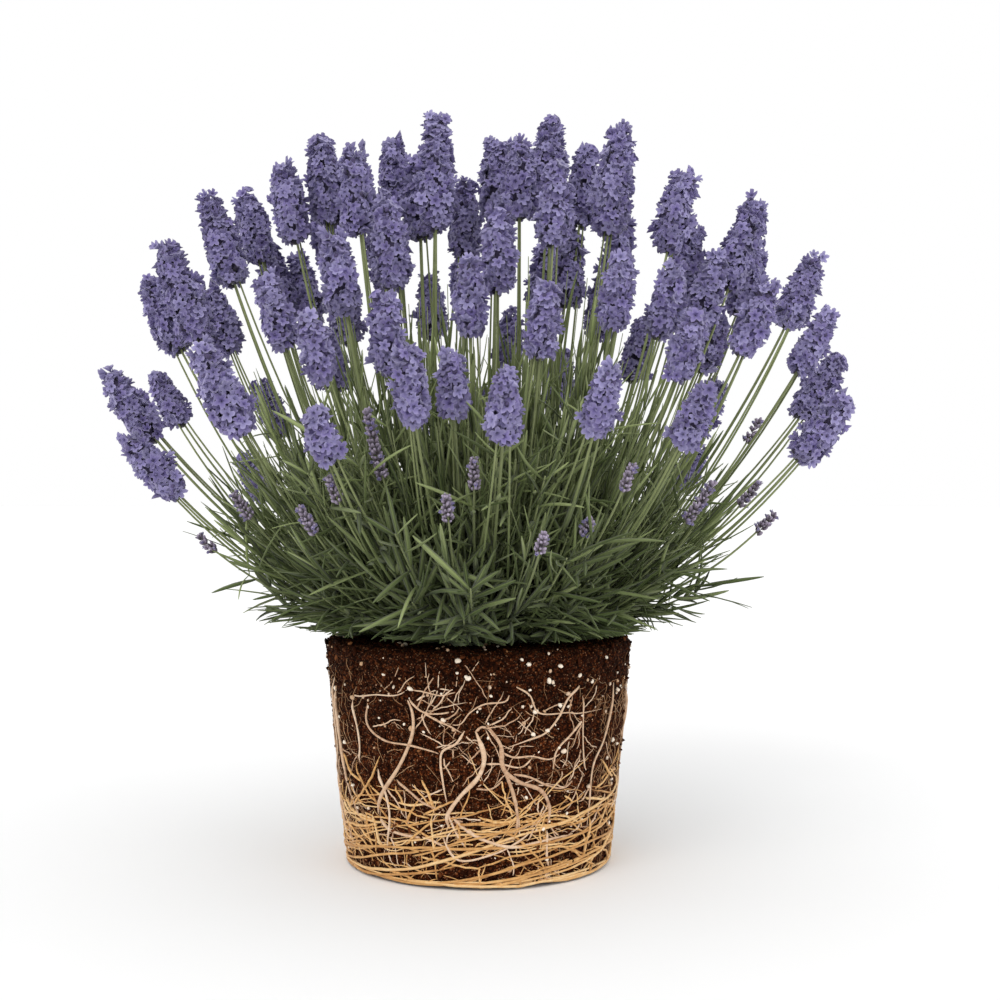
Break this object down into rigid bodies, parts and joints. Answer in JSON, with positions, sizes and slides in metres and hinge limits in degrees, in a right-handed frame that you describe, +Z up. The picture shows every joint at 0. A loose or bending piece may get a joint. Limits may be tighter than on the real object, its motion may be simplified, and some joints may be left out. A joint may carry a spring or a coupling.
{
  "type": "lavender plant with root ball",
  "caption": "Flowering lavender lifted from its pot: a dome of violet spikes on thin stems over grey-green leaves, on a tapered compost ball netted with roots.",
  "frame": {"origin": "middle of the flat base of the root ball, where it stands", "axes": "+Z up along the ball's axis, the fuller front of the plant towards -Y, +X to its right"},
  "size_m": [0.4002, 0.3228, 0.396],
  "materials": {
    "compost": "matt, coarse and crumbly, dark red-brown with white perlite beads",
    "fine_root": "matt, a golden mat of fine circling roots",
    "root": "matt, pale cream roots",
    "bark": "matt, grey-brown flaky bark",
    "flower": "soft and matt, violet florets over dark indigo calyces, on a grey-green stalk",
    "leaf": "matt, slightly felted, grey-green"
  },
  "bodies": {
    "root": {"compost_ball": "compost", "root_mat": "fine_root", "thick_root_01": "root", "thick_root_02": "root", "thick_root_03": "root", "thick_root_04": "root", "woody_crown": "bark", "flower_stem_01": "flower", "flower_stem_02": "flower", "flower_stem_03": "flower", "flower_stem_04": "flower", "flower_stem_05": "flower", "flower_stem_06": "flower", "flower_stem_07": "flower", "flower_stem_08": "flower", "flower_stem_09": "flower", "flower_stem_10": "flower", "flower_stem_11": "flower", "flower_stem_12": "flower", "flower_stem_13": "flower", "flower_stem_14": "flower", "flower_stem_15": "flower", "flower_stem_16": "flower", "flower_stem_17": "flower", "flower_stem_18": "flower", "flower_stem_19": "flower", "flower_stem_20": "flower", "flower_stem_21": "flower", "flower_stem_22": "flower", "flower_stem_23": "flower", "flower_stem_24": "flower", "flower_stem_25": "flower", "flower_stem_26": "flower", "flower_stem_27": "flower", "flower_stem_28": "flower", "flower_stem_29": "flower", "flower_stem_30": "flower", "flower_stem_31": "flower", "flower_stem_32": "flower", "flower_stem_33": "flower", "flower_stem_34": "flower", "flower_stem_35": "flower", "flower_stem_36": "flower", "flower_stem_37": "flower", "flower_stem_38": "flower", "flower_stem_39": "flower", "flower_stem_40": "flower", "flower_stem_41": "flower", "flower_stem_42": "flower", "flower_stem_43": "flower", "flower_stem_44": "flower", "leafy_shoot_01": "leaf", "leafy_shoot_02": "leaf", "leafy_shoot_03": "leaf", "leafy_shoot_04": "leaf", "leafy_shoot_05": "leaf", "leafy_shoot_06": "leaf", "leafy_shoot_07": "leaf", "leafy_shoot_08": "leaf", "leafy_shoot_09": "leaf"}
  },
  "joints": []
}
